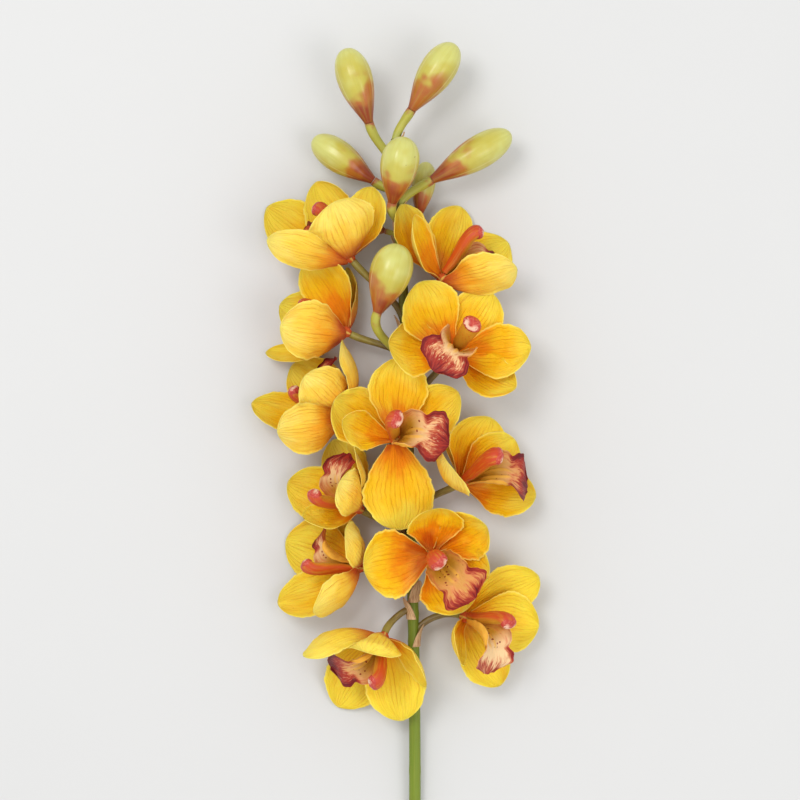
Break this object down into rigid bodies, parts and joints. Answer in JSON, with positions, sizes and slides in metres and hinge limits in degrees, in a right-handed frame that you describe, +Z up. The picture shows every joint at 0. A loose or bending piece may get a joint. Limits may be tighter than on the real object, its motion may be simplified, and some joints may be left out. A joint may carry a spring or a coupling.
{
  "type": "orchid stem",
  "caption": "Cut cymbidium orchid stem lying down, with yellow-orange blooms, crimson lips and closed buds.",
  "frame": {"origin": "on the surface the stem lies on, under the middle of its footprint", "axes": "+Y along the stalk from the cut end to the buds, +X to the right seen from above, +Z up from the surface"},
  "size_m": [0.2202, 0.6498, 0.0899],
  "materials": {
    "tepals": "soft satin, yellow to orange, fine lengthwise veins",
    "lip": "soft satin, crimson margin on cream and ochre",
    "column": "waxy satin, pink to crimson, pale anther cap",
    "bud": "waxy satin, yellow-green to red-brown at the base",
    "stem": "satin green, beige-brown dry bracts"
  },
  "bodies": {
    "root": {"bloom_01_tepals": "tepals", "bloom_01_lip": "lip", "bloom_01_column": "column", "bloom_02_tepals": "tepals", "bloom_02_lip": "lip", "bloom_02_column": "column", "bloom_03_tepals": "tepals", "bloom_03_lip": "lip", "bloom_03_column": "column", "bloom_04_tepals": "tepals", "bloom_04_lip": "lip", "bloom_04_column": "column", "bloom_05_tepals": "tepals", "bloom_05_lip": "lip", "bloom_05_column": "column", "bloom_06_tepals": "tepals", "bloom_06_lip": "lip", "bloom_06_column": "column", "bloom_07_tepals": "tepals", "bloom_07_lip": "lip", "bloom_07_column": "column", "bloom_08_tepals": "tepals", "bloom_08_lip": "lip", "bloom_08_column": "column", "bloom_09_tepals": "tepals", "bloom_09_lip": "lip", "bloom_09_column": "column", "bloom_10_tepals": "tepals", "bloom_10_lip": "lip", "bloom_10_column": "column", "bloom_11_tepals": "tepals", "bloom_11_lip": "lip", "bloom_11_column": "column", "bloom_12_tepals": "tepals", "bloom_12_lip": "lip", "bloom_12_column": "column", "bud_01": "bud", "bud_02": "bud", "bud_03": "bud", "bud_04": "bud", "bud_05": "bud", "bud_06": "bud", "bud_07": "bud", "bud_08": "bud", "stem": "stem"}
  },
  "joints": []
}
